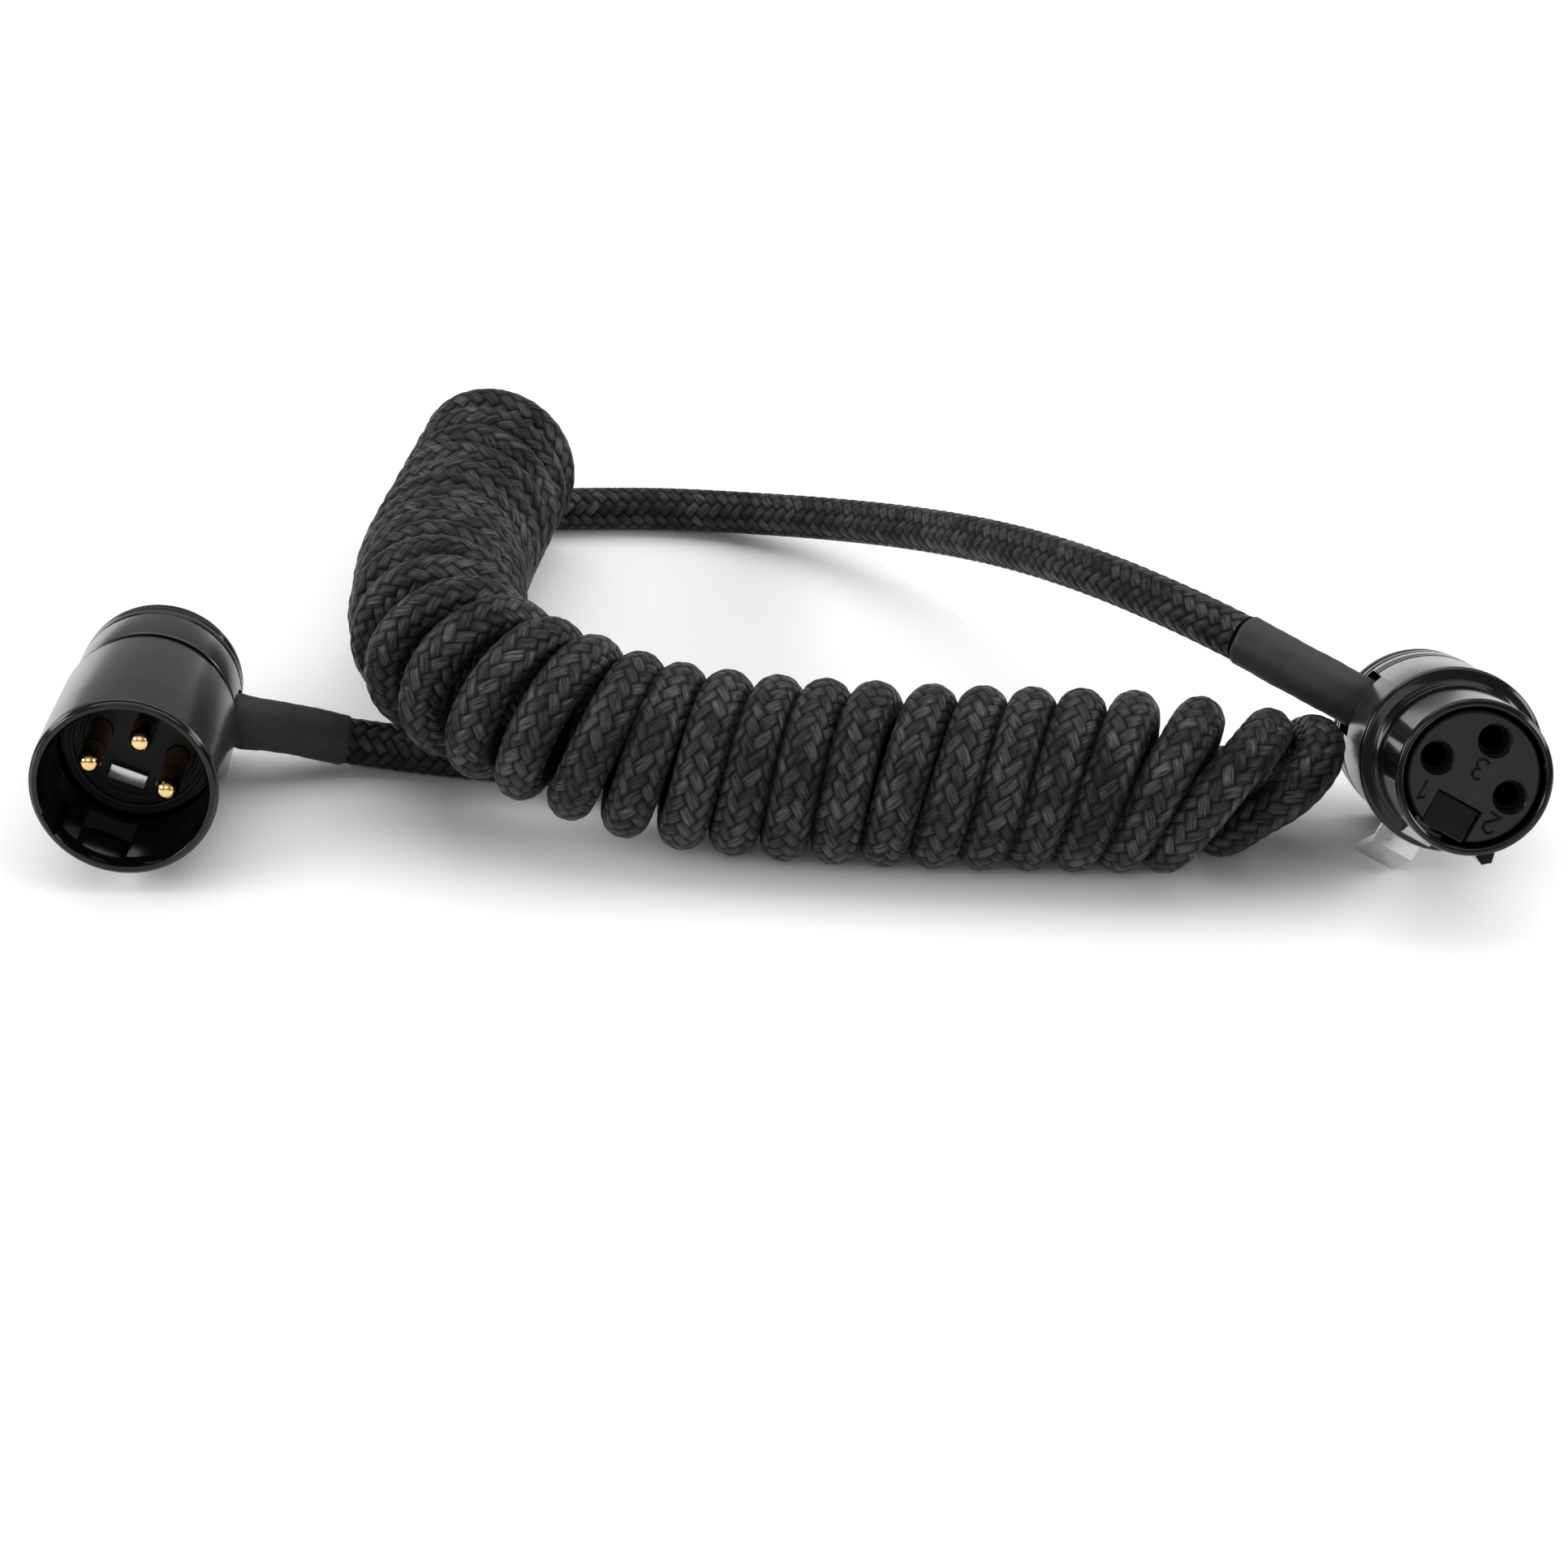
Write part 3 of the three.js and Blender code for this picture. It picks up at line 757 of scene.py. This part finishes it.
def sleeve(prefix, place, side, lift, lead):
    """The heat-shrink sleeve, from inside the outlet to the end of lead."""
    on_outlet = [tuple(place @ Vector((side * x, OUTLET_Y, lift * x))) for x in (6.5, 8, 10)]
    line = even(through(on_outlet + lead), SLEEVE_STEP)
    count, around = len(line), SLEEVE_AROUND
    s = np.arange(count) * SLEEVE_STEP
    outer = SLEEVE_OUTER + 0.02 * np.sin(s * 1.3) + 0.012 * np.sin(s * 3.7 + 1)
    outer[:2] -= (0.1, 0.03)
    outer[-3:] -= (0.0, 0.03, 0.12)
    spoke, angle = spokes(line, around)
    # The free edge is cut by hand, so it isn't quite square.
    ragged = 0.10 * np.sin(2 * angle + 0.6) + 0.05 * np.sin(5 * angle)
    ahead = unit(np.gradient(line, axis=0))
    shift = np.zeros((count, around))
    shift[-RAGGED_RINGS:] = np.linspace(0, 1, RAGGED_RINGS)[:, None] * ragged
    centre = line[:, None] + ahead[:, None] * shift[:, :, None]
    wave = 1 + 0.004 * np.sin(3 * angle[None, :] + s[:, None] * 0.8)
    outside = centre + spoke * (outer[:, None] * wave)[:, :, None]
    inside = (centre + spoke * SLEEVE_BORE)[::-1]
    verts = np.vstack([outside.reshape(-1, 3), inside.reshape(-1, 3)])
    faces = grid_faces(2 * count, around).tolist()
    last = (2 * count - 1) * around
    faces += [[last + k, last + (k + 1) % around, (k + 1) % around, k] for k in range(around)]
    obj = new_object(f"{prefix}_sleeve", verts, faces)
    unmoved = Matrix.Identity(4)
    settle(obj, LOOK["heatshrink"], "heatshrink", f"{prefix}_heatshrink", place=unmoved, angle=50)


def off_axis(face):
    """A face's distance from the connector's axis, before it's put in place."""
    return math.hypot(face.center.x, face.center.z)


def back_half(prefix, place, side, ring, body, cap, r, lift, lead):
    """Lock ring, rear housing, cap and sleeve. ring, body and cap are spans on the axis, and r is
    the housing's radius. side is 1 for an outlet at +x, and -1 at -x."""
    black, satin = LOOK["black_lacquer"], LOOK["satin_black"]
    # A step under the ring closes the slits on both sides of it.
    step, under = 0.28, r - 0.75
    lock = turned(f"{prefix}_ring", [
        (7.3, ring[0] - step), (under, ring[0] - step), (under, ring[0]), (r - 0.3, ring[0]),
        (r - 0.25, ring[0] + 0.1), (r - 0.25, ring[1] - 0.1), (r - 0.3, ring[1]),
        (under, ring[1]), (under, ring[1] + step), (7.3, ring[1] + step),
    ], 0.06)
    settle(lock, black, "black_lacquer", f"{prefix}_lock_ring", place=place)

    start, end = body
    outline = [
        (7.6, start), (r - 0.5, start), (r - 0.5, start + 0.3), (r - 0.1, start + 0.38), (r, start + 0.5),
    ]
    if side < 0:
        outline += [(r, end - 4.6)] + ribbed(r, end - 4.4, end - 2.6, 2, 0.34)
    outline += [
        (r, end - 1.6), (r - 0.36, end - 1.5), (r - 0.36, end - 0.95), (r - 0.05, end - 0.85),
        (r - 0.05, end - 0.2), (r - 0.3, end), (7.6, end),
    ]
    shell = turned(f"{prefix}_body", outline, 0.05)
    cut = (5, 11) if side > 0 else (-11, -5)
    cutters = [cross_rod(3.0, *cut, OUTLET_Y, lift * OUTLET_REACH, 64)]
    if side < 0:
        # The notch for the latch's thumb tab, and the squared mouth of the outlet.
        cutters.append(block((-2.75, 2.75), (12, 16.3), (-11, -5)))
        cutters.append(block((-11, -5), (20.2, 24.6), (-3.5, 3.5)))
    carve(shell, cutters)
    # Every face cut below the housing's radius is black lacquer: painted shade in the grooves and the outlet.
    shaded_grooves = [face.index for face in shell.data.polygons if off_axis(face) < r - GROOVE_UNDER]
    settle(shell, satin, "satin_black", f"{prefix}_housing", place=place)
    second_finish(shell, black, shaded_grooves)

    front, back = cap
    lid = turned(f"{prefix}_cap", [
        (0, front), (r - 0.35, front), (r - 0.15, front + 0.2), (r - 0.15, front + 0.55),
        (r - 0.28, front + 0.62), (r - 0.28, front + 0.8), (r - 0.17, front + 0.87),
        (r - 0.2, back - 0.5), (r - 0.55, back - 0.08), (r - 1.4, back),
        (6.9, back), (6.85, back - 0.12), (6.6, back - 0.12), (6.55, back), (0, back),
    ], 0.08)
    cutters = []
    for z in (-5.2, 5.2):
        cutters += [rod(0.9, front - 1, back - 0.5, 0, z), rod(1.4, back - 0.9, back + 1, 0, z)]
    carve(lid, cutters)
    settle(lid, black, "black_lacquer", f"{prefix}_rear_cap", place=place, angle=5)
    sleeve(prefix, place, side, lift, lead)


# The edges of the male barrel, in front of LIP_Y and behind WAIST_Y, are glossy black lacquer; so is its
# inside, within BORE_R, as painted shade in the deep cup.
LIP_Y, WAIST_Y, BORE_R = 0.42, 17.45, 8.95


def make_male():
    barrel = turned("male_barrel", [
        (8.62, 0.0), (9.02, 0.0), (9.18, 0.08), (9.26, 0.34), (9.46, 0.46), (9.5, 0.8),
        (9.47, 6.0), (9.20, 17.4), (9.05, 17.6), (9.05, 17.9), (9.12, 18.0), (8.95, 18.35),
        (8.7, 18.4), (7.4, 18.4), (7.4, 12.5), (8.15, 12.5), (8.15, 1.5), (8.3, 0.7),
    ], 0.07)
    carve(barrel, [
        block((-1.3, 1.3), (-1, 10), (-8.75, -7.5), -42),
        block((-2.6, 2.6), (1.3, 6), (-8.5, -7)),
        block((-2.6, 2.6), (6, 9.4), (-8.9, -7)),
    ])
    # Black lacquer on the edges, and on the inside as painted shade.
    glossy_edges_and_cup_shade = [
        face.index for face in barrel.data.polygons
        if not LIP_Y <= face.center.y <= WAIST_Y or off_axis(face) < BORE_R
    ]
    settle(barrel, LOOK["satin_black"], "satin_black", "male_shell", place=MALE)
    second_finish(barrel, LOOK["black_lacquer"], glossy_edges_and_cup_shade)
    floor = turned("male_floor", [
        (0, 11.6), (5.7, 11.6), (5.8, 11.75), (6.1, 11.75), (6.2, 11.6), (6.7, 11.6), (6.75, 11.0),
        (7.0, 10.95), (7.05, 11.15), (7.75, 11.15), (7.8, 11.3), (7.8, 12.2), (7.1, 12.2),
        (7.1, 19.1), (0, 19.1),
    ], 0.06)
    holes = []
    for n, (cx, cz) in CONTACTS.items():
        x, z = PIN_CIRCLE_R * cx, PIN_CIRCLE_R * cz
        holes.append(rod(1.26, 8, 22, x, z))
        pin = turned(f"male_pin_{n}_plated", [
            (0, 2.4), (0.42, 2.43), (0.8, 2.62), (1.05, 2.95), (1.16, 3.4), (1.18, 3.9),
            (1.18, 6.1), (1.12, 6.2), (1.12, 6.45), (1.18, 6.55), (1.18, 20.7), (0.65, 20.7),
            (0.65, 19.9), (0, 19.9),
        ], 0.16, 56, 4)
        pin.data.transform(Matrix.Translation((x, 0, z)))
        settle(pin, LOOK["gold_contact"], "gold_contact", f"male_pin_{n}", place=MALE, angle=45)
    carve(floor, holes)
    settle(floor, LOOK["insert_plastic"], "insert_plastic", "male_insert", place=MALE, angle=5)
    tab = bevelled("male_earth_tab", "male_ground_tab", 0.11)
    settle(tab, LOOK["bright_steel"], "bright_steel", "male_ground_tab")
    back_half(
        "male", MALE, 1, (18.7, 19.4), (19.7, 26.9), (27.2, LENGTH), 8.7, 0.11,
        [(-51.5, 14.9, 4.75), (-46.6, 15.8, 3.0)],
    )


# Faces of the female insert that are cut into its face: between these depths, and within
# CUTS_WITHIN of the axis. They are black lacquer, as painted shade in the digits and holes.
CUTS_FROM_Y, CUTS_TO_Y, CUTS_WITHIN = 0.56, 0.95, 6.2


def make_female():
    nose = turned("female_nose", [
        (6.9, 0.35), (7.05, 0.08), (7.2, 0.0), (7.35, 0.0), (7.62, 0.10), (7.75, 0.4), (7.75, 9.15),
        (8.0, 9.3), (8.1, 9.4), (8.1, 9.75), (7.98, 9.8), (7.98, 9.95), (8.1, 10.0), (8.1, 10.3), (8.9, 10.4),
        (9.15, 10.5), (9.3, 10.8), (9.3, 11.1), (9.2, 11.15), (9.2, 11.3), (9.3, 11.35), (9.3, 11.75),
        (9.1, 12.0), (6.9, 12.0),
    ], 0.07)
    # The key rib narrows outwards.
    rib = block((-1.2, 1.2), (0.8, 9.8), (-8.75, -7.3))
    for corner in rib.data.vertices:
        if corner.co.z < -8:
            corner.co.x *= 0.42
    rib.data.transform(Matrix.Rotation(math.radians(-39), 4, "Y"))
    carve(nose, [rib], "UNION")
    carve(nose, [block((-1.9, 1.9), (5.4, 9.2), (-9, -5))])
    settle(nose, LOOK["black_lacquer"], "black_lacquer", "female_shell", place=FEMALE)
    face = turned("female_face", [
        (0, FACE_Y), (6.28, FACE_Y), (6.5, 0.75), (6.5, 19.1), (0, 19.1),
    ], 0.08)
    cutters = [block((-2.45, 2.5), (-1, 20.1), (-8, -2.6)), cross_rod(0.75, -5, 5, 3.4, -5.2)]
    for cx, cz in CONTACTS.values():
        x, z = -PIN_CIRCLE_R * cx, PIN_CIRCLE_R * cz
        hole = turned("cutter", [
            (0, -1), (1.75, -1), (1.75, FACE_Y), (1.58, 0.72), (1.58, 3.0), (1.92, 3.0), (1.92, 22), (0, 22),
        ], 0.001, 64, 1)
        hole.data.transform(Matrix.Translation((x, 0, z)))
        cutters.append(hole)
    cutters += digit("1", -3.75, -3.45) + digit("3", 0.1, 0.95) + digit("2", 3.75, -3.1)
    carve(face, cutters)
    # The digits' floors and the holes' mouths are black: painted shade.
    engraving_shade = [
        facet.index for facet in face.data.polygons
        if CUTS_FROM_Y < facet.center.y < CUTS_TO_Y and off_axis(facet) < CUTS_WITHIN
    ]
    settle(face, LOOK["insert_plastic"], "insert_plastic", "female_insert", place=FEMALE, angle=5)
    second_finish(face, LOOK["black_lacquer"], engraving_shade)
    guide = block((-2.25, 2.3), (0.95, 1.85), (-6.25, -2.8))
    guide.name = "latch_guide"
    soften(guide, 0.14)
    settle(guide, LOOK["black_lacquer"], "black_lacquer", place=FEMALE)
    lever = bevelled("latch_lever", "female_latch", 0.07)
    settle(lever, LOOK["bright_steel"], "bright_steel", "female_latch", body="latch", angle=40)
    back_half(
        "female", FEMALE, -1, (26.9, 27.4), (12.3, 26.6), (27.7, LENGTH), 8.8, 0,
        [(51.6, 8.0, 16.3), (47.0, 11.0, 17.7)],
    )


make_male()
make_female()


# ---------------------------------------------------------------- floor and light
def studio():
    plain = Finish("studio_floor")
    soft = plain.noise(plain.local(), 30.0, 2.0)
    plain.set(Base_Color=plain.mix(soft, grey(0.86), grey(0.88)), Roughness=0.9, Specular_IOR_Level=0.2)
    ground = new_object("studio_floor", [(-3, -3, 0), (3, -3, 0), (3, 3, 0), (-3, 3, 0)], [(0, 1, 2, 3)])
    ground.location.z = -0.00015
    ground.data.materials.append(plain.material)

    world = bpy.data.worlds.new("studio")
    world.use_nodes = True
    color, strength = world.node_tree.nodes["Background"].inputs[:2]
    color.default_value = (1, 1, 1, 1)
    strength.default_value = 0.32
    bpy.context.scene.world = world

    def softbox(name, at, target, size, power):
        light = bpy.data.lights.new(name, "AREA")
        light.shape = "RECTANGLE"
        light.size, light.size_y = size
        light.energy = power
        obj = link(name, light)
        obj.location = at
        obj.rotation_euler = (Vector(target) - Vector(at)).to_track_quat("-Z", "Y").to_euler()

    softbox("top", (0.05, 0.25, 0.75), (0, 0.02, 0), (1.3, 0.9), 5.8)
    softbox("left", (-0.55, -0.10, 0.26), (-0.02, 0.0, 0.01), (0.75, 0.16), 3.2)
    softbox("right", (0.55, -0.10, 0.26), (0.02, 0.0, 0.01), (0.75, 0.16), 3.2)
    softbox("front", (-0.1, -0.8, 0.5), (0, 0, 0), (0.5, 0.35), 0.9)
    bpy.context.scene.view_settings.view_transform = "Standard"
    bpy.context.scene.view_settings.look = "None"


studio()
